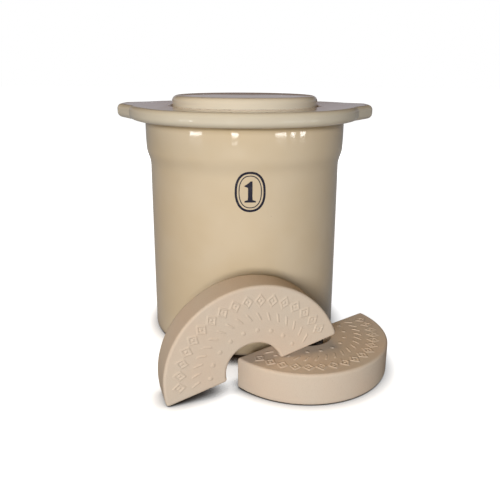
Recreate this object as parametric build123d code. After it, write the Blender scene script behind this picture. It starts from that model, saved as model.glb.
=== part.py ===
from build123d import *
from math import asin, cos, degrees, sin, sqrt
import os

os.makedirs("parts", exist_ok=True)

# A one gallon water seal crock with its lid and its two half-moon weights.
# Millimetres. +Z is up, +X is to the right and -Y to the front.
# The origin is the centre of the crock's foot.

# Crock: heights
rim_height = 213.5
flange_thickness = 12.0
band_height = 27.5
ramp_height = 10.0
floor_thickness = 9.0
channel_depth = 26.0
channel_floor = 8.0
neck_drop = 2.5

# Crock: radii and walls
body_radius = 88.5
foot_flare = 1.4
wall = 8.0
band_step = 3.5
flange_reach = 14.6
channel_wall = 23.0
neck_wall = 7.5

# Crock: roundings
foot_round = 3.5
ramp_round = 9.0
under_flange_round = 2.5
flange_edge = 4.5
channel_lip = 1.5
channel_corner = 4.0
neck_lip = 3.5
floor_cove = 12.0
shoulder_rise = 16.0
shoulder_cove = 12.0
shoulder_lip = 3.0

# Crock: ears
ear_reach = 10.4
ear_root_width = 73.0
ear_tip_width = 29.0
ear_corner = 10.0
ear_root = 6.0
ear_turn = -1.8

# Lid
lid_rise = 9.8
lid_top = 7.0
lid_dome = 1.2
lid_dome_round = 1200.0
lid_gap = 2.0
skirt_thickness = 6.0
skirt_gap = 8.0
lid_edge = 5.0
skirt_round = 2.0
ceiling_cove = 4.0

# Weights
weight_radius = 73.0
weight_thickness = 26.5
cut_offset = 2.4
notch_radius = 23.0
weight_corner = 2.5
weight_edge = 2.2

# Where the flat weight lies: its circle's middle, right of the axis and in front of the body, and its turn
flat_right = 50.5
flat_front = 5.1
flat_turn = 37.3

# Where the leaning weight stands: the middle of its circle and its turn, seen from the flat weight
leaning_left = 65.55
leaning_front = 17.57
leaning_turn = -19.3

# Gap under a piece that rests on another one
rest_gap = 0.2

# Worked out from the sizes above
band_radius = body_radius + band_step
flange_radius = band_radius + flange_reach
flange_bottom = rim_height - flange_thickness
band_bottom = flange_bottom - band_height
ramp_bottom = band_bottom - ramp_height
foot_radius = body_radius + foot_flare
cavity_radius = body_radius - wall
channel_radius = band_radius - channel_wall
channel_bottom = rim_height - channel_depth
ceiling_height = channel_bottom - channel_floor
lid_radius = channel_radius - lid_gap
skirt_inner = lid_radius - skirt_thickness
neck_outer = skirt_inner - skirt_gap
neck_inner = neck_outer - neck_wall
neck_top = rim_height - neck_drop
shoulder_start = ceiling_height - shoulder_rise
lid_height = rim_height + lid_rise
lid_edge_height = lid_height - lid_dome
skirt_bottom = channel_bottom + rest_gap


def rounded_face(corners):
    """A face from (x, y, radius) corners in order, with each corner rounded to its radius."""
    face = make_face(Polyline([(x, y) for x, y, _ in corners], close=True))
    for x, y, radius in corners:
        if radius > 0:
            corner = face.vertices().sort_by_distance((x, y, 0))[0]
            face = fillet(corner, radius)
    return face


def turned(corners):
    """A solid of revolution about +Z from (radius, height, rounding) corners."""
    section = Plane.XZ * rounded_face(corners)
    return revolve(section, Axis.Z)


def crock_body():
    """The thrown body with its band, water channel, neck and cavity."""
    return turned([
        (0, 0, 0),
        (foot_radius, 0, foot_round),
        (body_radius, ramp_bottom, ramp_round),
        (band_radius, band_bottom, ramp_round),
        (band_radius, rim_height, 0),
        (channel_radius, rim_height, channel_lip),
        (channel_radius, channel_bottom, channel_corner),
        (neck_outer, channel_bottom, channel_corner),
        (neck_outer, neck_top, neck_lip),
        (neck_inner, neck_top, neck_lip),
        (neck_inner, ceiling_height, shoulder_lip),
        (cavity_radius - shoulder_rise, ceiling_height, shoulder_cove),
        (cavity_radius, shoulder_start, shoulder_cove),
        (cavity_radius, floor_thickness, floor_cove),
        (0, floor_thickness, 0),
    ])


def flange_outline():
    """The flange's outline from above: a disc with an ear on each side that narrows to its tip."""
    ear_radius = flange_radius + ear_reach
    root_x = sqrt(flange_radius**2 - (ear_root_width / 2)**2)
    tip_x = sqrt(ear_radius**2 - (ear_tip_width / 2)**2)
    slope = (ear_root_width - ear_tip_width) / 2 / (tip_x - root_x)
    inner = (root_x - ear_reach, ear_root_width / 2 + slope * ear_reach)
    outer = (ear_radius, ear_tip_width / 2 - slope * (ear_radius - tip_x))
    right = [inner, outer, (outer[0], -outer[1]), (inner[0], -inner[1])]
    left = [(-x, -y) for x, y in right]
    ears = Circle(ear_radius) & make_face(Polyline(right + left, close=True))
    outline = Sketch() + Circle(flange_radius) + ears
    tips = [vertex for vertex in outline.vertices() if vertex.center().length > flange_radius + ear_reach / 2]
    outline = fillet(tips, ear_corner)
    roots = []
    for side_x in (-root_x, root_x):
        for side_y in (-ear_root_width / 2, ear_root_width / 2):
            roots.append(outline.vertices().sort_by_distance((side_x, side_y, 0))[0])
    return fillet(roots, ear_root)


def flange_ring():
    """The projecting flange and ears, rounded above and below, around the band."""
    inner_radius = (channel_radius + band_radius) / 2
    plate = extrude(Pos(0, 0, flange_bottom) * Rot(0, 0, ear_turn) * flange_outline(), flange_thickness)
    outer = plate.faces().filter_by(Axis.Z).edges()
    plate = fillet(outer, flange_edge)
    return plate - Pos(0, 0, flange_bottom) * Cylinder(
        inner_radius, flange_thickness, align=(Align.CENTER, Align.CENTER, Align.MIN))


def crock():
    body = crock_body() + flange_ring()
    seam = [
        edge for edge in body.edges().filter_by(GeomType.CIRCLE)
        if abs(edge.center().Z - flange_bottom) < rest_gap and abs(edge.radius - band_radius) < rest_gap
    ]
    return fillet(seam, under_flange_round)


def lid():
    """An inverted dish: a slightly domed top and a skirt that stands in the water channel."""
    ceiling = lid_edge_height - lid_top
    return turned([
        (0, lid_height, 0),
        (lid_radius / 2, lid_height, lid_dome_round),
        (lid_radius, lid_edge_height, lid_edge),
        (lid_radius, skirt_bottom, skirt_round),
        (skirt_inner, skirt_bottom, skirt_round),
        (skirt_inner, ceiling, ceiling_cove),
        (0, ceiling, 0),
    ])


def half_moon():
    """A weight lying flat, its round side towards -Y and its cut edge along X."""
    disc = Circle(weight_radius)
    half = disc & Pos(0, -cut_offset - weight_radius) * Rectangle(2 * weight_radius, 2 * weight_radius)
    outline = Sketch() + half - Pos(0, -cut_offset) * Circle(notch_radius)
    outline = fillet(outline.vertices(), weight_corner)
    solid = extrude(outline, weight_thickness)
    return fillet(solid.faces().filter_by(Axis.Z).edges(), weight_edge)


def flat_place():
    return Pos(flat_right, -body_radius - flat_front, 0) * Rot(0, 0, flat_turn)


def flat_weight():
    return flat_place() * half_moon()


def leaning_weight():
    """Stands on its left end, with the notch's right corner on the flat weight's top face."""
    left_reach = sqrt((weight_radius - weight_corner)**2 - (cut_offset + weight_corner)**2)
    right_reach = sqrt((notch_radius + weight_corner)**2 - weight_corner**2)
    tilt = asin(weight_thickness / (left_reach + right_reach))
    lowest = cut_offset * cos(tilt) - left_reach * sin(tilt) - weight_corner * (1 - cos(tilt))
    height = rest_gap - lowest
    upright = Rot(-90, 0, 0) * half_moon()
    faced = Rot(0, -degrees(tilt), 0) * upright
    return flat_place() * Pos(-leaning_left, -leaning_front, height) * Rot(0, 0, leaning_turn) * faced


pieces = {
    "crock": crock(),
    "lid": lid(),
    "flat_weight": flat_weight(),
    "leaning_weight": leaning_weight(),
}

for node, piece in pieces.items():
    export_step(piece, f"parts/{node}.step")
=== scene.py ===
import math

import bpy
import numpy as np
from mathutils import Matrix, Vector


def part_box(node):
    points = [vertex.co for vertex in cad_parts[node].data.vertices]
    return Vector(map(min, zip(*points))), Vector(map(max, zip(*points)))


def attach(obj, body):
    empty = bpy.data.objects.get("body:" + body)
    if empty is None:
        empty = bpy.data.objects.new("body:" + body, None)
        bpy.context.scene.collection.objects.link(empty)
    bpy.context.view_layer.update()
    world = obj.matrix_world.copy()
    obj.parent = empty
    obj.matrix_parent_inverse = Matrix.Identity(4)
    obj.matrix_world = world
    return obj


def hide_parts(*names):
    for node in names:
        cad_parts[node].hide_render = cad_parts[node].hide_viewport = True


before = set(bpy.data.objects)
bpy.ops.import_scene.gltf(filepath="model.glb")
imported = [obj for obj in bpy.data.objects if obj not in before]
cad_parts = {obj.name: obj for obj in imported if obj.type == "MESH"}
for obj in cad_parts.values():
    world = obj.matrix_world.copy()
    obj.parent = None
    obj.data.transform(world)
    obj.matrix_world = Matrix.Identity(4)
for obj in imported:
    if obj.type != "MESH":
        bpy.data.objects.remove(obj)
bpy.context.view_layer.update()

# Metres and radians. The frame is the model's: +Z up, +X right and -Y front.
# The origin is the centre of the crock's foot.

# Crock: outline heights and radii, the first ones read from the frame
_, crock_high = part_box("crock")
rim_height = crock_high.z
ear_radius = crock_high.x
flange_radius = crock_high.y
flange_thickness = 0.012
band_height = 0.0275
ramp_height = 0.010
floor_thickness = 0.009
channel_depth = 0.026
channel_floor = 0.008
neck_drop = 0.0025
flange_reach = 0.0146
band_step = 0.0035
foot_flare = 0.0014
wall = 0.008
channel_wall = 0.023
neck_wall = 0.0075
lid_gap = 0.002
skirt_thickness = 0.006
skirt_gap = 0.008

flange_bottom = rim_height - flange_thickness
band_radius = flange_radius - flange_reach
body_radius = band_radius - band_step
foot_radius = body_radius + foot_flare
band_bottom = flange_bottom - band_height
ramp_bottom = band_bottom - ramp_height
cavity_radius = body_radius - wall
channel_radius = band_radius - channel_wall
channel_bottom = rim_height - channel_depth
ceiling_height = channel_bottom - channel_floor
lid_radius = channel_radius - lid_gap
skirt_inner = lid_radius - skirt_thickness
neck_outer = skirt_inner - skirt_gap
neck_inner = neck_outer - neck_wall
neck_top = rim_height - neck_drop

# Crock: roundings
foot_round = 0.0035
ramp_round = 0.024
under_flange_round = 0.0025
flange_edge = 0.0045
channel_lip = 0.0015
channel_corner = 0.004
neck_lip = 0.0035
floor_cove = 0.012
shoulder_rise = 0.016
shoulder_cove = 0.012
shoulder_lip = 0.003
foot_ring = 0.014
foot_recess = 0.0008

# Crock: ears
ear_root_width = 0.073
ear_tip_width = 0.029
ear_corner = 0.010
ear_root = 0.006
ear_turn = math.radians(-1.8)
ear_lift = 0.0014
ear_lift_start = 0.070
ear_lift_power = 1.2

# Lid. The skirt narrows downwards by its draft, which starts a little below the rounding of the edge
lid_low, lid_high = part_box("lid")
lid_top = 0.007
lid_dome = 0.0012
lid_dome_round = 1.2
lid_edge_height = lid_high.z - lid_dome
lid_edge = 0.005
skirt_draft = 0.0011
draft_clear = 0.0004
skirt_round = 0.002
ceiling_cove = 0.004

# Weights
weight_radius = 0.073
weight_thickness = 0.0265
cut_offset = 0.0024
notch_radius = 0.023
weight_corner = 0.0025
weight_edge = 0.0022

# Where the flat weight lies: its circle's middle, right of the axis and in front of the body, and its turn
flat_right = 0.0505
flat_front = 0.0051
flat_turn = math.radians(37.3)

# Where the leaning weight stands: its circle's middle and its turn, seen from the flat weight, and its gap
leaning_left = 0.06555
leaning_front = 0.01757
leaning_turn = math.radians(-19.3)
rest_gap = 0.0002

# Weights: middles of the roundings at the tips of the cut edge and at the horns beside the notch
corner_y = -cut_offset - weight_corner
tip_x = math.sqrt((weight_radius - weight_corner)**2 - corner_y**2)
horn_x = math.sqrt((notch_radius + weight_corner)**2 - weight_corner**2)

# Throwing rings in the walls: depth and spacings, and how far and in how many waves they drift
ring_depth = 0.00006
inner_ring_depth = 0.0007
ring_spacings = (0.0094, 0.0155, 0.023, 0.041)
ring_drift = (0.2, 0.6)
most_ring_waves = 3

# Relief on the weights: rise, distance from the tips, width of a line, and distance from the line of rest
relief_rise = 0.0006
relief_margin = math.radians(9)
relief_line = 0.0009
rest_clear = 0.003

# Rows of relief, each (radius, height, count of marks), and the forms of the marks
lozenge_row = (0.0610, 0.0088, 17)
stroke_row = (0.0480, 0.0070, 17)
bead_row = (0.0365, 0.0034, 9)
lozenge_width_share = 0.72
lozenge_dot_radius = 1.3 * relief_line
stroke_across = (0.87, -0.5)

# Printed capacity mark on the front of the body: its middle, right along the wall and up, and its sizes
mark_right = 0.0046
mark_height = 0.1495
mark_width = 0.0255
mark_tall = 0.0335
mark_proud = 0.00012
mark_line = 0.0019
mark_gap = 0.0013
mark_thin_line = 0.0008
numeral_height = 0.0175
oval_power = 2.3

# The numeral from its foot to its top: level, left side and right side, in shares of its height
numeral_shares = (
    (-0.50, -0.27, 0.27),
    (-0.43, -0.27, 0.27),
    (-0.38, -0.12, 0.12),
    (-0.20, -0.105, 0.105),
    (0.00, -0.105, 0.105),
    (0.20, -0.105, 0.105),
    (0.25, -0.27, 0.105),
    (0.31, -0.25, 0.105),
    (0.40, -0.105, 0.105),
    (0.50, 0.01, 0.105),
)

# How far a bend's thin glaze, and its pooling and painted shade, spread along the outline
bend_reach = 0.0022

# How finely surfaces are divided
profile_step = 0.0022
arc_step = math.radians(11.25)
arc_length_step = 0.003
least_arc_steps = 2
turn_step = math.radians(1.5)
ear_side_step = math.radians(0.4)
weight_length_count = 420
weight_width_count = 96
weight_arc_steps = 90
weight_edge_steps = 5
weight_wall_steps = 12
oval_steps = 96

full_turn = 2 * math.pi


# Outlines of turned pieces

def rounded_chain(corners):
    """Points along (x, y, radius) corners, rounded, and the outline's signed bend at each point."""
    points = []
    bends = []
    count = len(corners)
    for i, (x, y, radius) in enumerate(corners):
        here = Vector((x, y))
        if radius == 0 or i in (0, count - 1):
            points.append(here)
            bends.append(0.0)
            continue
        before = (Vector(corners[i - 1][:2]) - here).normalized()
        after = (Vector(corners[i + 1][:2]) - here).normalized()
        half = math.acos(max(-1.0, min(1.0, before.dot(after)))) / 2
        middle = here + (before + after).normalized() * (radius / math.sin(half))
        start = here + before * (radius / math.tan(half)) - middle
        end = here + after * (radius / math.tan(half)) - middle
        turn = start.angle_signed(end)
        by_angle = math.ceil(abs(turn) / arc_step)
        by_length = math.ceil(abs(turn) * radius / arc_length_step)
        steps = max(least_arc_steps, by_angle, by_length)
        for k in range(steps + 1):
            spoke = Matrix.Rotation(-turn * k / steps, 2) @ start
            points.append(middle + spoke)
            bends.append(math.copysign(1 / radius, -turn))
    return points, bends


def divided(points, bends):
    """The same chain with long stretches cut into short ones."""
    fine, fine_bends = [points[0]], [bends[0]]
    for a, b, bend in zip(points, points[1:], bends[1:]):
        pieces = max(1, math.ceil((b - a).length / profile_step))
        for k in range(1, pieces + 1):
            fine.append(a.lerp(b, k / pieces))
            fine_bends.append(bend if k == pieces else 0.0)
    return np.array(fine), np.array(fine_bends)


def spread_bends(profile, bends):
    """Each point's bend, softened along the outline, so that a glaze thins and pools round a corner."""
    along = np.concatenate([[0], np.cumsum(np.linalg.norm(np.diff(profile, axis=0), axis=1))])
    weight = np.exp(-((along[:, None] - along[None, :]) / bend_reach)**2)
    return (weight @ bends) / weight.sum(axis=1)


def outline_radius(angles, inset):
    """The radius at each angle of the flange with its two tapered ears, drawn in by inset."""
    root_angle = math.asin(ear_root_width / 2 / flange_radius)
    tip_angle = math.asin(ear_tip_width / 2 / ear_radius)
    root_point = flange_radius * Vector((math.cos(root_angle), math.sin(root_angle)))
    tip_point = ear_radius * Vector((math.cos(tip_angle), math.sin(tip_angle)))
    along_side = tip_point - root_point
    facing = math.atan2(along_side.x, -along_side.y)
    normal = Vector((math.cos(facing), math.sin(facing)))
    side = root_point.dot(normal) - inset
    disc, tip = flange_radius - inset, ear_radius - inset
    root, corner = ear_root + inset, ear_corner - inset
    root_turn = facing - math.acos((side + root) / (disc + root))
    corner_turn = facing - math.acos((side - corner) / (tip - corner))
    root_middle = Vector((math.cos(root_turn), math.sin(root_turn))) * float(disc + root)
    corner_middle = Vector((math.cos(corner_turn), math.sin(corner_turn))) * float(tip - corner)
    side_start = root_middle - normal * float(root)
    side_end = corner_middle + normal * float(corner)
    folded = np.arctan2(np.abs(np.sin(angles)), np.abs(np.cos(angles)))

    def crossing(middle, radius, far):
        along = np.cos(folded) * middle.x + np.sin(folded) * middle.y
        inside = np.maximum(along**2 - middle.length_squared + radius * radius, 0)
        return along + far * np.sqrt(inside)

    radius = np.full(len(angles), disc)
    radius = np.where(folded < root_turn, crossing(root_middle, root, -1), radius)
    least_cosine = 0.1
    straight = side / np.maximum(np.cos(folded - facing), least_cosine)
    radius = np.where(folded < math.atan2(side_start.y, side_start.x), straight, radius)
    radius = np.where(folded < math.atan2(side_end.y, side_end.x), crossing(corner_middle, corner, 1), radius)
    return np.where(folded < corner_turn, tip, radius)


def ring_angles():
    """Angles round the crock, closer together at the sides of the ears."""
    side_low = math.asin((ear_tip_width / 2 - ear_corner) / ear_radius)
    side_high = math.asin((ear_root_width / 2 + ear_root) / flange_radius)
    quarter = math.pi / 2
    coarse = math.ceil(quarter / turn_step)
    plain = [k * quarter / coarse for k in range(coarse)]
    close = np.arange(side_low, side_high, ear_side_step)
    first = sorted([a for a in plain if not side_low <= a <= side_high] + list(close))
    second = [math.pi - a for a in reversed(first) if a > 0]
    half_turn = first + [quarter] + second
    return np.array(half_turn + [a + math.pi for a in half_turn])


# Meshes

def new_object(name, vertices, faces, material):
    mesh = bpy.data.meshes.new(name)
    mesh.from_pydata([tuple(v) for v in vertices], [], faces)
    mesh.polygons.foreach_set("use_smooth", [True] * len(mesh.polygons))
    mesh.materials.append(material)
    mesh.validate()
    mesh.update()
    obj = bpy.data.objects.new(name, mesh)
    bpy.context.scene.collection.objects.link(obj)
    return obj


def store(obj, name, values):
    """Keeps one number for each vertex, for the material to read."""
    attribute = obj.data.attributes.new(name, "FLOAT", "POINT")
    attribute.data.foreach_set("value", np.asarray(values, dtype=np.float32))


def store_rings(obj, name, values, around, start=0):
    """Keeps one number for each ring of a turned skin, and one for the middle where it starts."""
    store(obj, name, np.append(np.repeat(values[1:-1], around), [start, 0]))


def turned(name, rings, start, end, material):
    """A closed skin through rings of points, from one point on the axis to another."""
    levels, around = rings.shape[:2]
    vertices = np.concatenate([rings.reshape(-1, 3), [start, end]])
    first, last = levels * around, levels * around + 1
    faces = []
    for j in range(around):
        k = (j + 1) % around
        faces.append((first, k, j))
        top = (levels - 1) * around
        faces.append((last, top + j, top + k))
        for i in range(levels - 1):
            low, high = i * around, (i + 1) * around
            faces.append((low + j, low + k, high + k, high + j))
    return new_object(name, vertices, faces, material)


def hand_marks(angles, heights, seed):
    """Shallow throwing rings that drift round a wall: from 0, untouched, to -1, deepest."""
    chance = np.random.default_rng(seed)
    depth = np.zeros((len(heights), len(angles)))
    for spacing in ring_spacings:
        start = chance.uniform(0, full_turn)
        reach = chance.uniform(*ring_drift)
        waves = chance.integers(1, most_ring_waves + 1)
        drift = reach * np.sin(waves * angles + chance.uniform(0, full_turn))
        depth += np.sin(full_turn * heights[:, None] / spacing + drift[None, :] + start)
    return depth / (2 * len(ring_spacings)) - 0.5


def crock_profile():
    return [
        (0, foot_recess, 0),
        (foot_radius - foot_ring, foot_recess, foot_recess),
        (foot_radius - foot_ring + 2 * foot_recess, 0, foot_recess),
        (foot_radius, 0, foot_round),
        (body_radius, ramp_bottom, ramp_round),
        (band_radius, band_bottom, ramp_round),
        (band_radius, flange_bottom, under_flange_round),
        (flange_radius, flange_bottom, flange_edge),
        (flange_radius, rim_height, flange_edge),
        (channel_radius, rim_height, channel_lip),
        (channel_radius, channel_bottom, channel_corner),
        (neck_outer, channel_bottom, channel_corner),
        (neck_outer, neck_top, neck_lip),
        (neck_inner, neck_top, neck_lip),
        (neck_inner, ceiling_height, shoulder_lip),
        (cavity_radius - shoulder_rise, ceiling_height, shoulder_cove),
        (cavity_radius, ceiling_height - shoulder_rise, shoulder_cove),
        (cavity_radius, floor_thickness, floor_cove),
        (0, floor_thickness, 0),
    ]


def make_crock(material):
    """The thrown body, with throwing rings in its walls, and the flange with its ears."""
    profile, bends = divided(*rounded_chain(crock_profile()))
    soft = spread_bends(profile, bends)
    angles = ring_angles()
    radii, heights = profile[:, 0], profile[:, 1]
    inner = band_radius + under_flange_round
    shelf = outline_radius(angles, flange_edge)
    ring_radius = np.repeat(radii[:, None], len(angles), axis=1)
    for i, radius in enumerate(radii):
        if radius > flange_radius - flange_edge:
            ring_radius[i] = outline_radius(angles, flange_radius - radius)
        elif radius > inner:
            share = (radius - inner) / (flange_radius - flange_edge - inner)
            ring_radius[i] = inner + share * (shelf - inner)

    mid_wall = body_radius - wall / 2
    wall_top = flange_bottom - under_flange_round
    outside = (radii > mid_wall) & (heights > 2 * foot_round) & (heights < wall_top)
    inside = (radii < mid_wall) & (heights > 2 * floor_thickness) & (heights < ceiling_height)
    depth = np.where(outside, ring_depth, 0) + np.where(inside, -inner_ring_depth, 0)
    ring_radius += hand_marks(angles, heights, seed=7) * depth[:, None]

    out = np.abs(ring_radius * np.cos(angles)[None, :])
    lift_share = np.clip((out - ear_lift_start) / (ear_radius - ear_lift_start), 0, 1)
    lift = ear_lift * lift_share**ear_lift_power
    turned_angles = angles + ear_turn
    rings = np.stack([
        ring_radius * np.cos(turned_angles)[None, :],
        ring_radius * np.sin(turned_angles)[None, :],
        heights[:, None] + lift,
    ], axis=2)
    obj = turned("crock_glazed", rings[1:-1], (0, 0, heights[0]), (0, 0, heights[-1]), material)
    bare = (heights < foot_round) & (radii < foot_radius + foot_flare)
    # The flange's front and top take a painted sheen: a paler colour in place of the shine they mirror
    pale = (heights > flange_bottom) & (radii > band_radius + under_flange_round)
    store_rings(obj, "bend", soft, len(angles))
    store_rings(obj, "bare", bare, len(angles), start=1)
    store_rings(obj, "pale", pale, len(angles))
    return obj


def lid_profile():
    ceiling = lid_edge_height - lid_top
    return [
        (0, ceiling, 0),
        (skirt_inner, ceiling, ceiling_cove),
        (skirt_inner, lid_low.z, skirt_round),
        (lid_radius - skirt_draft, lid_low.z, skirt_round),
        (lid_radius, lid_edge_height - lid_edge - draft_clear, 0),
        (lid_radius, lid_edge_height, lid_edge),
        (lid_radius / 2, lid_high.z, lid_dome_round),
        (0, lid_high.z, 0),
    ]


def make_lid(material):
    """The loose lid, an inverted dish with a skirt."""
    profile, bends = divided(*rounded_chain(lid_profile()))
    soft = spread_bends(profile, bends)
    angles = np.arange(0, full_turn, turn_step)
    radii, heights = profile[:, 0], profile[:, 1]
    rings = np.stack([
        radii[:, None] * np.cos(angles)[None, :],
        radii[:, None] * np.sin(angles)[None, :],
        np.repeat(heights[:, None], len(angles), axis=1),
    ], axis=2)
    flat_part = np.clip((lid_radius - lid_edge - radii) / lid_edge, 0, 1)
    top = np.where(heights > lid_edge_height, flat_part, 0)
    rings[:, :, 2] += hand_marks(angles, radii, seed=11) * (ring_depth * top)[:, None]
    middle = (0, 0, heights[-1] - ring_depth / 2)
    obj = turned("lid_glazed", rings[1:-1], (0, 0, heights[0]), middle, material)
    bare = heights < lid_low.z + skirt_round
    store_rings(obj, "bend", soft, len(angles))
    store_rings(obj, "bare", bare, len(angles))
    store(obj, "pale", np.ones(len(obj.data.vertices)))
    return obj


# Half-moon weights

def sampled(path, count):
    """count + 1 points, evenly spaced along a path of (point, outward direction) rows."""
    path = np.array(path)
    along = np.concatenate([[0], np.cumsum(np.linalg.norm(np.diff(path[:, :2], axis=0), axis=1))])
    wanted = np.linspace(0, along[-1], count + 1)
    return np.stack([np.interp(wanted, along, path[:, k]) for k in range(4)], axis=1)


def arc(x, y, radius, start, end, outward=1):
    """Rows of (x, y, outward x, outward y) along an arc."""
    angles = np.linspace(start, end, weight_arc_steps + 1)
    spoke_x, spoke_y = np.cos(angles), np.sin(angles)
    return list(zip(x + radius * spoke_x, y + radius * spoke_y, outward * spoke_x, outward * spoke_y))


def other_side(rows):
    """The same rows in the mirror of the weight's middle line, last one first."""
    return [(-x, y, -nx, ny) for x, y, nx, ny in reversed(rows)]


def half_moon_sides():
    """The outline's round side and notch, each from left to right, and its two cut edges, each inwards."""
    up = math.pi / 2
    tip_angle = math.atan2(corner_y, tip_x)
    tip_middle = (tip_angle + up) / 2
    horn_angle = math.atan2(weight_corner, -horn_x)
    horn_middle = (horn_angle + up) / 2
    round_right = (arc(0, 0, weight_radius, -up, tip_angle)
                   + arc(tip_x, corner_y, weight_corner, tip_angle, tip_middle))
    cut = (arc(tip_x, corner_y, weight_corner, tip_middle, up)
           + arc(horn_x, corner_y, weight_corner, up, horn_middle))
    notch_start = math.atan2(-weight_corner, horn_x)
    notch_right = (arc(horn_x, corner_y, weight_corner, horn_middle, horn_angle)
                   + arc(0, -cut_offset, notch_radius, notch_start, -up, outward=-1))
    outer = sampled(other_side(round_right) + round_right, weight_length_count)
    right_cut = sampled(cut, weight_width_count)
    notch = sampled(notch_right + other_side(notch_right), weight_length_count)[::-1]
    left_cut = right_cut * np.array([-1, 1, -1, 1])
    return outer, right_cut, notch, left_cut


def drawn_in(side, inset):
    return side[:, :2] - side[:, 2:] * inset


def patch(sides, inset):
    """A grid of points that fills the outline drawn in by inset."""
    outer, right_cut, notch, left_cut = [drawn_in(side, inset) for side in sides]
    u = np.linspace(0, 1, len(outer))[:, None, None]
    v = np.linspace(0, 1, len(right_cut))[None, :, None]
    between = (1 - v) * outer[:, None] + v * notch[:, None]
    across = (1 - u) * left_cut[None] + u * right_cut[None]
    corners = ((1 - u) * (1 - v) * outer[0] + u * (1 - v) * outer[-1]
               + (1 - u) * v * notch[0] + u * v * notch[-1])
    return between + across - corners


def relief_height(grid):
    """Three raised rows round the face: lozenges, slanted strokes and beads."""
    x, y = grid[..., 0], grid[..., 1]
    radius = np.hypot(x, y)
    angle = np.arctan2(-y, x)
    span = math.pi - 2 * relief_margin
    inside = (angle > relief_margin) & (angle < math.pi - relief_margin)

    def cell(row):
        """A point's place along and outward from its mark's middle, and half the mark's cell."""
        row_radius, tall, count = row
        step = span / count
        along = ((angle - relief_margin) % step - step / 2) * row_radius
        return along, radius - row_radius, step * row_radius / 2

    def ridge(off):
        return np.clip(1 - (off / relief_line)**2, 0, 1)

    def dot(along, outward, dot_radius):
        return np.sqrt(np.clip(1 - (np.hypot(along, outward) / dot_radius)**2, 0, 1))

    along, outward, half_cell = cell(lozenge_row)
    wide, high = lozenge_width_share * half_cell, lozenge_row[1] / 2
    off = np.abs(np.abs(along) / wide + np.abs(outward) / high - 1) * wide * high / math.hypot(wide, high)
    raised = np.maximum(ridge(off), dot(along, outward, lozenge_dot_radius))

    along, outward, _ = cell(stroke_row)
    off = np.abs(along * stroke_across[0] + outward * stroke_across[1])
    ends = np.clip((stroke_row[1] / 2 - np.abs(outward)) / relief_line, 0, 1)
    raised = np.maximum(raised, ridge(off) * ends)

    along, outward, _ = cell(bead_row)
    raised = np.maximum(raised, dot(along, outward, bead_row[1] / 2))
    return relief_rise * np.where(inside, raised, 0)


def clear_of_rest(grid):
    """0 along the line where the leaning weight rests on the flat one, so that no mark reaches into it."""
    to_flat = flat_place().inverted() @ leaning_place()
    start, end = (np.array((to_flat @ Vector((horn_x, -cut_offset, z))).xy) for z in (0, weight_thickness))
    along = end - start
    share = np.clip((grid - start) @ along / (along @ along), 0, 1)
    off = np.linalg.norm(grid - start - share[..., None] * along, axis=-1)
    return np.clip((off - rest_clear) / relief_line, 0, 1)


def grid_faces(index, upward):
    """Squares between the vertices of a grid, facing up or down."""
    faces = []
    for near, far in zip(index, index[1:]):
        for a, b, c, d in zip(near, far, far[1:], near[1:]):
            faces.append((a, b, c, d) if upward else (a, d, c, b))
    return faces


def bridge(upper, lower):
    """Squares between two loops of vertices."""
    following = np.roll(np.arange(len(upper)), -1)
    return [(upper[k], upper[j], lower[j], lower[k]) for j, k in enumerate(following)]


def make_weight(name, place, relief_face, material):
    """One half-moon, with relief on its top face (1) or its bottom face (-1)."""
    sides = half_moon_sides()
    outer, right_cut, notch, left_cut = sides
    loop = np.concatenate([outer[:-1], right_cut[:-1], notch[::-1][:-1], left_cut[::-1][:-1]])
    face = patch(sides, weight_edge)
    relief = relief_height(face) * (clear_of_rest(face) if relief_face > 0 else 1)
    top = np.dstack([face, weight_thickness + relief * (relief_face > 0)])
    bottom = np.dstack([face, -relief * (relief_face < 0)])

    loops = []
    for k in range(1, weight_edge_steps + 1):
        a = math.pi / 2 * k / weight_edge_steps
        inset = weight_edge * (1 - math.sin(a))
        drop = weight_edge * (1 - math.cos(a))
        loops.append((inset, weight_thickness - drop))
    for k in range(1, weight_wall_steps):
        share = k / weight_wall_steps
        loops.append((0, weight_thickness - weight_edge - share * (weight_thickness - 2 * weight_edge)))
    loops += [(inset, weight_thickness - z) for inset, z in reversed(loops[:weight_edge_steps])]

    index = np.arange(relief.size).reshape(relief.shape)
    rim = np.concatenate([index[:-1, 0], index[-1, :-1], index[::-1, -1][:-1], index[0, ::-1][:-1]])
    vertices = [top.reshape(-1, 3)]
    faces = grid_faces(index, upward=True)
    base = index.size
    previous = rim
    for inset, z in loops:
        vertices.append(np.column_stack([drawn_in(loop, inset), np.full(len(loop), z)]))
        current = base + np.arange(len(loop))
        faces += bridge(previous, current)
        previous = current
        base += len(loop)
    vertices.append(bottom.reshape(-1, 3))
    faces += bridge(previous, base + rim)
    faces += grid_faces(base + index, upward=False)
    faces = [tuple(int(n) for n in corners) for corners in faces]
    obj = new_object(name, np.concatenate(vertices), faces, material)
    obj.data.transform(place)
    return obj


def flat_place():
    return Matrix.Translation((flat_right, -body_radius - flat_front, 0)) @ Matrix.Rotation(flat_turn, 4, "Z")


def leaning_place():
    """Stands on its left end, with the notch's right corner on the flat weight's top face."""
    tilt = math.asin(weight_thickness / (tip_x + horn_x))
    lowest = cut_offset * math.cos(tilt) - tip_x * math.sin(tilt) - weight_corner * (1 - math.cos(tilt))
    stand = Matrix.Translation((-leaning_left, -leaning_front, rest_gap - lowest))
    turn = Matrix.Rotation(leaning_turn, 4, "Z")
    lean = Matrix.Rotation(-tilt, 4, "Y")
    upright = Matrix.Rotation(-math.pi / 2, 4, "X")
    return flat_place() @ stand @ turn @ lean @ upright


# Capacity mark

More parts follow.
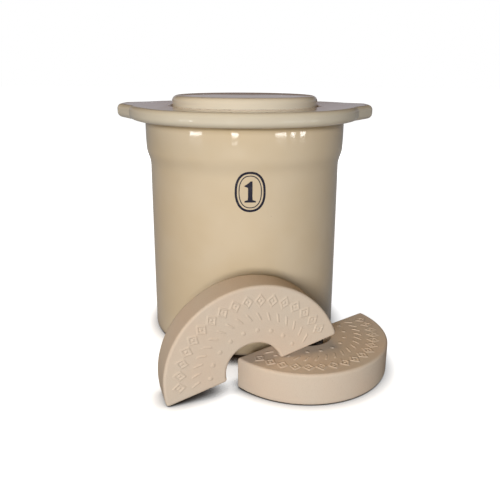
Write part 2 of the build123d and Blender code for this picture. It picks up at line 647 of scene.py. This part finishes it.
def oval(inset):
    """Points round the mark's oval, a little squarer than an ellipse and drawn in by inset."""
    width, height = mark_width - 2 * inset, mark_tall - 2 * inset
    points = []
    for k in range(oval_steps):
        turn = full_turn * k / oval_steps
        x, y = math.cos(turn), math.sin(turn)
        x = math.copysign(abs(x)**(2 / oval_power), x)
        y = math.copysign(abs(y)**(2 / oval_power), y)
        points.append((x * width / 2, y * height / 2))
    return points


def wall_line():
    """Heights and radii of the outer wall from the foot to the band."""
    profile, _ = divided(*rounded_chain(crock_profile()))
    radii, heights = profile[:, 0], profile[:, 1]
    above_foot = (radii > body_radius - foot_flare) & (heights > foot_round)
    wall_part = above_foot & (heights < flange_bottom - under_flange_round)
    return heights[wall_part], radii[wall_part]


wall_heights, wall_radii = wall_line()


def on_body(x, y):
    """A point on the body's front wall, x along the wall from the mark's middle and y up from it."""
    z = mark_height + y
    radius = float(np.interp(z, wall_heights, wall_radii)) + mark_proud
    angle = (mark_right + x) / body_radius
    return radius * math.sin(angle), -radius * math.cos(angle), z


def band_between(vertices, faces, outer, inner):
    base = len(vertices)
    count = len(outer)
    vertices += [on_body(x, y) for x, y in outer]
    vertices += [on_body(x, y) for x, y in inner]
    for k in range(count):
        n = (k + 1) % count
        faces.append((base + k, base + n, base + count + n, base + count + k))


def make_mark(material):
    """An oval frame of a thick and a thin line with the numeral 1 in it, lying on the glaze."""
    vertices, faces = [], []
    thin_outside = mark_line + mark_gap
    band_between(vertices, faces, oval(0), oval(mark_line))
    band_between(vertices, faces, oval(thin_outside), oval(thin_outside + mark_thin_line))
    base = len(vertices)
    for level, left, right in numeral_shares:
        vertices += [on_body(numeral_height * side, numeral_height * level) for side in (left, right)]
    for k in range(len(numeral_shares) - 1):
        a = base + 2 * k
        faces.append((a, a + 1, a + 3, a + 2))
    return new_object("capacity_mark", vertices, faces, material)


# Materials

cream = (0.690, 0.570, 0.400)
cream_warm = (0.665, 0.535, 0.355)
# Painted sheen: a paler, greyer cream on the flange's rim in place of the shine that it mirrors
rim_painted_sheen = (0.680, 0.620, 0.490)
cream_lid = (0.790, 0.720, 0.580)
cream_thin = (0.36, 0.235, 0.125)
# Darker in coves: partly glaze pooling there, partly painted shade in the crease
cream_pooled_and_shaded = (0.40, 0.29, 0.14)
clay = (0.60, 0.47, 0.33)
speck_brown = (0.16, 0.10, 0.055)
bisque = (0.670, 0.570, 0.460)
bisque_pink = (0.685, 0.555, 0.435)
bisque_dark = (0.50, 0.385, 0.27)
navy = (0.006, 0.006, 0.020)
navy_worn = (0.013, 0.012, 0.030)

# Shine. Each roughness is about the middle of the range that a pattern gives it further down
specular_level = 0.25
coat_weight = 0.9
glaze_roughness = 0.45
glaze_coat_roughness = 0.06
mark_coat_roughness = 0.05
bisque_roughness = 0.82

# Patterns: scales in features per metre, and the part of a noise's range that is spread over its effect
middle_span = (0.3, 0.7)
cloud_span = (0.35, 0.65)
glaze_cloud_scale = 22.0
glaze_ripple_scale = 60.0
glaze_dimple_scale = 260.0
foot_grain_scale = 1400.0
bisque_cloud_scale = 26.0
bisque_grain_scale = 1300.0
bisque_grain_rough = 0.65
bisque_grain_span = (0.5, 0.85)
mark_wear_scale = 700.0
mark_wear_span = (0.45, 0.75)

# Effects: how far each goes. A bend is in 1 over metres, above 0 at an edge and below 0 in a cove
thin_bends = (40.0, 420.0)
thin_shares = (0.0, 0.2)
thin_patch_shares = (0.6, 1.0)
# Coves darken partly from glaze pooling and partly from painted shade
pooled_and_shaded_bends = (-30.0, -380.0)
pooled_and_shaded_shares = (0.0, 0.6)
foot_grain_shares = (0.0, 0.5)
bisque_grain_shares = (0.0, 0.45)
gloss_roughness = (0.40, 0.55)
clay_roughness = (0.76, 0.9)
foot_roughness = 0.85

# Specks: cells per metre, radius, and the share of the cells that has one.
# The core share is how much of a speck's radius has its full colour.
glaze_specks = (95.0, 0.00035, 0.16)
glaze_speck_share = 0.55
glaze_speck_sink = -0.6
bisque_specks = (210.0, 0.0003, 0.12)
bisque_speck_share = 0.6
speck_core_share = 0.4

# Bump: strength and depth
glaze_bump = (0.10, 0.00012)
bisque_bump = (0.35, 0.00015)

# Sockets of Blender's mix node that colours use
mix_factor, mix_first, mix_second, mix_result = 0, 6, 7, 2


def shader(name, roughness, coat=0.0, coat_roughness=0.05):
    material = bpy.data.materials.new(name)
    material.use_nodes = True
    nodes = material.node_tree.nodes
    surface = nodes["Principled BSDF"]
    surface.inputs["Roughness"].default_value = roughness
    surface.inputs["Specular IOR Level"].default_value = specular_level
    surface.inputs["Coat Weight"].default_value = coat
    surface.inputs["Coat Roughness"].default_value = coat_roughness
    return material, nodes, material.node_tree.links, surface


def noise(nodes, links, place, scale, detail=2.0, rough=0.5):
    node = nodes.new("ShaderNodeTexNoise")
    node.inputs["Scale"].default_value = scale
    node.inputs["Detail"].default_value = detail
    node.inputs["Roughness"].default_value = rough
    links.new(place, node.inputs["Vector"])
    return node.outputs["Fac"]


def remap(nodes, links, value, span, result=(0.0, 1.0)):
    """Spreads the value's span over the result and holds it at the result's ends outside that span."""
    node = nodes.new("ShaderNodeMapRange")
    for socket, number in zip(("From Min", "From Max", "To Min", "To Max"), (*span, *result)):
        node.inputs[socket].default_value = number
    links.new(value, node.inputs["Value"])
    return node.outputs["Result"]


def blend_colours(nodes, links, factor, first, second):
    node = nodes.new("ShaderNodeMix")
    node.data_type = "RGBA"
    for socket, value in ((mix_factor, factor), (mix_first, first), (mix_second, second)):
        if isinstance(value, tuple):
            node.inputs[socket].default_value = (*value, 1.0)
        else:
            links.new(value, node.inputs[socket])
    return node.outputs[mix_result]


def maths(nodes, links, operation, first, second):
    node = nodes.new("ShaderNodeMath")
    node.operation = operation
    for socket, value in enumerate((first, second)):
        if isinstance(value, float):
            node.inputs[socket].default_value = value
        else:
            links.new(value, node.inputs[socket])
    return node.outputs[0]


def attribute(nodes, name):
    node = nodes.new("ShaderNodeAttribute")
    node.attribute_name = name
    return node.outputs["Fac"]


def specks(nodes, links, place, scale, radius, share):
    """1 in small round spots, in the given share of the cells."""
    cells = nodes.new("ShaderNodeTexVoronoi")
    cells.inputs["Scale"].default_value = scale
    links.new(place, cells.inputs["Vector"])
    split = nodes.new("ShaderNodeSeparateColor")
    links.new(cells.outputs["Color"], split.inputs["Color"])
    chosen = maths(nodes, links, "LESS_THAN", split.outputs["Red"], share)
    spot = remap(nodes, links, cells.outputs["Distance"], (radius * scale, speck_core_share * radius * scale))
    return maths(nodes, links, "MULTIPLY", spot, chosen)


def bump(nodes, links, surface, height, strength, distance):
    node = nodes.new("ShaderNodeBump")
    node.inputs["Strength"].default_value = strength
    node.inputs["Distance"].default_value = distance
    links.new(height, node.inputs["Height"])
    links.new(node.outputs["Normal"], surface.inputs["Normal"])


def glaze(name, pale):
    """Cream glaze: cloudy, thin and tan over edges, darker in coves from pooling glaze and painted shade,
    with a painted sheen on the crock's rim and a lighter cream over the lid.

    It has a few iron specks, and there is bare clay at the foot and under the lid's skirt.
    """
    material, nodes, links, surface = shader(name, glaze_roughness, coat_weight, glaze_coat_roughness)
    place = nodes.new("ShaderNodeTexCoord").outputs["Object"]
    clouds = remap(nodes, links, noise(nodes, links, place, glaze_cloud_scale, detail=3.0), cloud_span)
    colour = blend_colours(nodes, links, clouds, cream, cream_warm)
    # Painted sheen on the crock's rim; on the lid, its lighter cream all over
    colour = blend_colours(nodes, links, attribute(nodes, "pale"), colour, pale)
    ripple = noise(nodes, links, place, glaze_ripple_scale)
    bend = attribute(nodes, "bend")
    thin = remap(nodes, links, bend, thin_bends, thin_shares)
    patches = remap(nodes, links, ripple, middle_span, thin_patch_shares)
    colour = blend_colours(nodes, links, maths(nodes, links, "MULTIPLY", thin, patches), colour, cream_thin)
    # Darker in coves, such as under the flange: partly pooling glaze, partly painted shade
    pooled_and_shaded = remap(nodes, links, bend, pooled_and_shaded_bends, pooled_and_shaded_shares)
    colour = blend_colours(nodes, links, pooled_and_shaded, colour, cream_pooled_and_shaded)
    spots = specks(nodes, links, place, *glaze_specks)
    spot_share = maths(nodes, links, "MULTIPLY", spots, glaze_speck_share)
    colour = blend_colours(nodes, links, spot_share, colour, speck_brown)
    bare = attribute(nodes, "bare")
    grain = noise(nodes, links, place, foot_grain_scale)
    grain_share = remap(nodes, links, grain, middle_span, foot_grain_shares)
    foot_clay = blend_colours(nodes, links, grain_share, clay, bisque_dark)
    colour = blend_colours(nodes, links, bare, colour, foot_clay)
    links.new(colour, surface.inputs["Base Color"])
    gloss = remap(nodes, links, ripple, middle_span, gloss_roughness)
    dull = maths(nodes, links, "MAXIMUM", gloss, maths(nodes, links, "MULTIPLY", bare, foot_roughness))
    links.new(dull, surface.inputs["Roughness"])
    height = maths(nodes, links, "ADD", noise(nodes, links, place, glaze_dimple_scale),
                   maths(nodes, links, "MULTIPLY", spots, glaze_speck_sink))
    bump(nodes, links, surface, height, *glaze_bump)
    return material


def bare_clay(name):
    """Unglazed, fired clay: matt, fine-grained, with faint clouds of pink and tan."""
    material, nodes, links, surface = shader(name, bisque_roughness)
    place = nodes.new("ShaderNodeTexCoord").outputs["Object"]
    clouds = remap(nodes, links, noise(nodes, links, place, bisque_cloud_scale, detail=4.0), cloud_span)
    colour = blend_colours(nodes, links, clouds, bisque, bisque_pink)
    grain = noise(nodes, links, place, bisque_grain_scale, detail=3.0, rough=bisque_grain_rough)
    grain_share = remap(nodes, links, grain, bisque_grain_span, bisque_grain_shares)
    colour = blend_colours(nodes, links, grain_share, colour, bisque_dark)
    spots = specks(nodes, links, place, *bisque_specks)
    spot_share = maths(nodes, links, "MULTIPLY", spots, bisque_speck_share)
    colour = blend_colours(nodes, links, spot_share, colour, speck_brown)
    links.new(colour, surface.inputs["Base Color"])
    links.new(remap(nodes, links, grain, middle_span, clay_roughness), surface.inputs["Roughness"])
    bump(nodes, links, surface, grain, *bisque_bump)
    return material


def mark_paint(name):
    """Dark navy print under the glaze."""
    material, nodes, links, surface = shader(name, glaze_roughness, coat_weight, mark_coat_roughness)
    place = nodes.new("ShaderNodeTexCoord").outputs["Object"]
    wear = noise(nodes, links, place, mark_wear_scale, detail=3.0)
    colour = blend_colours(nodes, links, remap(nodes, links, wear, mark_wear_span), navy, navy_worn)
    links.new(colour, surface.inputs["Base Color"])
    links.new(remap(nodes, links, wear, middle_span, gloss_roughness), surface.inputs["Roughness"])
    return material


# The object
crock = make_crock(glaze("cream_glaze", rim_painted_sheen))
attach(crock, "crock")
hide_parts("crock")

lid = make_lid(glaze("lid_glaze", cream_lid))
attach(lid, "lid")
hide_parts("lid")

stoneware = bare_clay("bare_stoneware")
flat_weight = make_weight("flat_weight_bisque", flat_place(), 1, stoneware)
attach(flat_weight, "flat_weight")
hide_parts("flat_weight")

leaning_weight = make_weight("leaning_weight_bisque", leaning_place(), -1, stoneware)
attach(leaning_weight, "leaning_weight")
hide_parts("leaning_weight")

mark = make_mark(mark_paint("mark_paint"))
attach(mark, "crock")


# Camera: the photograph's viewpoint, in front of the crock and a little above its rim
photo_side = 500
focal_pixels = 555.02
sensor_width = 36.0
camera_distance = 0.5335
camera_height = 0.2434
camera_pitch = math.radians(17.87)
camera_yaw = math.radians(0.60)
camera_roll = math.radians(0.31)


def make_camera():
    data = bpy.data.cameras.new("camera")
    data.sensor_width = sensor_width
    data.lens = focal_pixels * sensor_width / photo_side
    camera = bpy.data.objects.new("camera", data)
    level = Vector((math.cos(camera_yaw), -math.sin(camera_yaw), 0))
    ahead = Vector((math.sin(camera_yaw) * math.cos(camera_pitch),
                    math.cos(camera_yaw) * math.cos(camera_pitch), -math.sin(camera_pitch)))
    up = level.cross(ahead)
    right = math.cos(camera_roll) * level + math.sin(camera_roll) * up
    top = math.cos(camera_roll) * up - math.sin(camera_roll) * level
    turn = Matrix((right, top, -ahead)).transposed().to_4x4()
    camera.matrix_world = Matrix.Translation((0, -camera_distance, camera_height)) @ turn
    bpy.context.scene.collection.objects.link(camera)
    bpy.context.scene.camera = camera


# Floor and world. The camera sees them white, and a shiny surface mirrors a greyer horizon and a dim ceiling
floor_side = 8.0
floor_drop = 0.0003
floor_white = 0.80
floor_roughness = 0.9
floor_specular = 0.1
floor_bounce = (0.30, 0.27, 0.24)
floor_shade = (0.05, 0.035, 0.025)
floor_lift = (0.92, 1.05)
lift_grows = (0.30, 1.2)
openness_samples = 16
crevice_reach = 0.08
crevice_span = (0.18, 0.46)
contact_reach = 0.015
contact_power = 1.2

# A soft shade along the front of the foot: where it ends outwards, backwards and to the left,
# and the openness over which it fades
foot_shade_outwards = (0.099, 0.108)
foot_shade_backwards = (-0.055, -0.045)
foot_shade_leftwards = (-0.030, -0.045)
foot_shade_span = (0.46, 0.56)

# Light from the world, and what a shiny surface mirrors: a table, a horizon and a ceiling,
# with the levels between which one goes over into the next
ambient = 0.012
ambient_colour = (1.0, 0.96, 0.91)
mirror_table = (0.14, 0.10, 0.09)
mirror_horizon = (0.42, 0.41, 0.46)
mirror_ceiling = (0.06, 0.055, 0.055)
mirror_table_end = (0.043, 0.064)
mirror_ceiling_start = (0.10, 0.28)
mirror_floor = 0.25

# Lamps: azimuth from the front in degrees, distance and height, width and height of the face, power, colour,
# and whether a shiny surface mirrors it
aim_point = (0, -0.03, 0.10)
plain_light = (1.0, 1.0, 1.0)
warm_light = (1.0, 0.64, 0.26)
lamps = {
    "key": (-8, 1.5, 0.47, 0.35, 0.35, 18.0, plain_light, False),
    "behind": (180, 1.5, 0.50, 0.50, 0.50, 7.0, plain_light, False),
    "above": (-50, 0.4, 1.1, 0.50, 0.50, 2.3, warm_light, False),
    "spot_left": (-53, 1.0, 0.096, 0.25, 0.012, 0.17, plain_light, True),
    "spot_middle": (-10, 1.0, 0.092, 0.13, 0.012, 0.11, plain_light, True),
    "spot_near_right": (38, 1.0, 0.096, 0.22, 0.012, 0.15, plain_light, True),
    "spot_right": (52, 1.0, 0.096, 0.09, 0.012, 0.065, plain_light, True),
    "spot_far_right": (64, 1.0, 0.096, 0.12, 0.012, 0.085, plain_light, True),
}


def ray_kinds(nodes):
    """Three outputs: 1 for a ray from the camera, through a clear surface and off a shiny surface."""
    path = nodes.new("ShaderNodeLightPath")
    return path.outputs["Is Camera Ray"], path.outputs["Is Transmission Ray"], path.outputs["Is Glossy Ray"]


def openness(nodes, reach):
    """1 in the open, falling to 0 where other surfaces within reach shut a point in."""
    node = nodes.new("ShaderNodeAmbientOcclusion")
    node.samples = openness_samples
    node.inputs["Distance"].default_value = reach
    return node.outputs["AO"]


def make_floor():
    corners = [(x * floor_side, y * floor_side, -floor_drop) for x, y in ((-1, -1), (1, -1), (1, 1), (-1, 1))]
    material = bpy.data.materials.new("floor_paper")
    material.use_nodes = True
    nodes, links = material.node_tree.nodes, material.node_tree.links
    surface = nodes["Principled BSDF"]
    surface.inputs["Roughness"].default_value = floor_roughness
    surface.inputs["Specular IOR Level"].default_value = floor_specular
    surface.inputs["Emission Color"].default_value = (1, 1, 1, 1)
    camera_ray, through_ray, glossy_ray = ray_kinds(nodes)
    direct = maths(nodes, links, "MAXIMUM", camera_ray, through_ray)
    seen = maths(nodes, links, "MAXIMUM", direct, maths(nodes, links, "MULTIPLY", glossy_ray, mirror_floor))

    place = nodes.new("ShaderNodeTexCoord").outputs["Object"]
    length = nodes.new("ShaderNodeVectorMath")
    length.operation = "LENGTH"
    links.new(place, length.inputs[0])
    away = length.outputs["Value"]
    shut_in = openness(nodes, crevice_reach)
    crevice = remap(nodes, links, shut_in, crevice_span)
    contact = maths(nodes, links, "POWER", openness(nodes, contact_reach), contact_power)
    open_share = maths(nodes, links, "MULTIPLY", crevice, contact)
    across = nodes.new("ShaderNodeSeparateXYZ")
    links.new(place, across.inputs["Vector"])
    behind = remap(nodes, links, across.outputs["Y"], foot_shade_backwards)
    beyond_foot = remap(nodes, links, away, foot_shade_outwards)
    beside = remap(nodes, links, across.outputs["X"], foot_shade_leftwards)
    beyond_foot = maths(nodes, links, "MAXIMUM", beyond_foot, maths(nodes, links, "MAXIMUM", behind, beside))
    foot_open = remap(nodes, links, shut_in, foot_shade_span)
    foot_open = maths(nodes, links, "MAXIMUM", beyond_foot, foot_open)
    open_share = maths(nodes, links, "MULTIPLY", open_share, foot_open)
    lift = remap(nodes, links, away, lift_grows, floor_lift)
    lift = maths(nodes, links, "MULTIPLY", lift, open_share)
    links.new(maths(nodes, links, "MULTIPLY", lift, seen), surface.inputs["Emission Strength"])
    paper = blend_colours(nodes, links, direct, floor_bounce, (floor_white,) * 3)
    shade_share = maths(nodes, links, "SUBTRACT", 1.0, open_share)
    paper = blend_colours(nodes, links, shade_share, paper, floor_shade)
    links.new(paper, surface.inputs["Base Color"])
    new_object("floor", corners, [(0, 1, 2, 3)], material)


def make_world():
    world = bpy.data.worlds.new("studio")
    bpy.context.scene.world = world
    world.use_nodes = True
    nodes, links = world.node_tree.nodes, world.node_tree.links
    background = nodes["Background"]
    camera_ray, through_ray, glossy_ray = ray_kinds(nodes)
    direct = maths(nodes, links, "MAXIMUM", camera_ray, through_ray)
    toward = nodes.new("ShaderNodeSeparateXYZ")
    links.new(nodes.new("ShaderNodeTexCoord").outputs["Generated"], toward.inputs["Vector"])
    rise = remap(nodes, links, toward.outputs["Z"], mirror_table_end)
    mirrored = blend_colours(nodes, links, rise, mirror_table, mirror_horizon)
    rise = remap(nodes, links, toward.outputs["Z"], mirror_ceiling_start)
    mirrored = blend_colours(nodes, links, rise, mirrored, mirror_ceiling)
    plain = tuple(ambient * c for c in ambient_colour)
    colour = blend_colours(nodes, links, glossy_ray, plain, mirrored)
    colour = blend_colours(nodes, links, direct, colour, (1.0, 1.0, 1.0))
    links.new(colour, background.inputs["Color"])
    background.inputs["Strength"].default_value = 1.0


def make_lamp(name, azimuth, distance, height, width, tall, power, colour, in_gloss):
    data = bpy.data.lights.new(name, "AREA")
    data.shape = "RECTANGLE"
    data.size, data.size_y = width, tall
    data.energy = power
    data.color = colour
    obj = bpy.data.objects.new(name, data)
    turn = math.radians(azimuth)
    obj.location = (distance * math.sin(turn), -distance * math.cos(turn), height)
    obj.rotation_mode = "QUATERNION"
    obj.rotation_quaternion = (Vector(aim_point) - obj.location).to_track_quat("-Z", "Y")
    obj.visible_glossy = in_gloss
    bpy.context.scene.collection.objects.link(obj)


make_camera()
make_floor()
make_world()
for lamp_name, values in lamps.items():
    make_lamp(lamp_name, *values)

scene = bpy.context.scene
scene.view_settings.view_transform = "Standard"
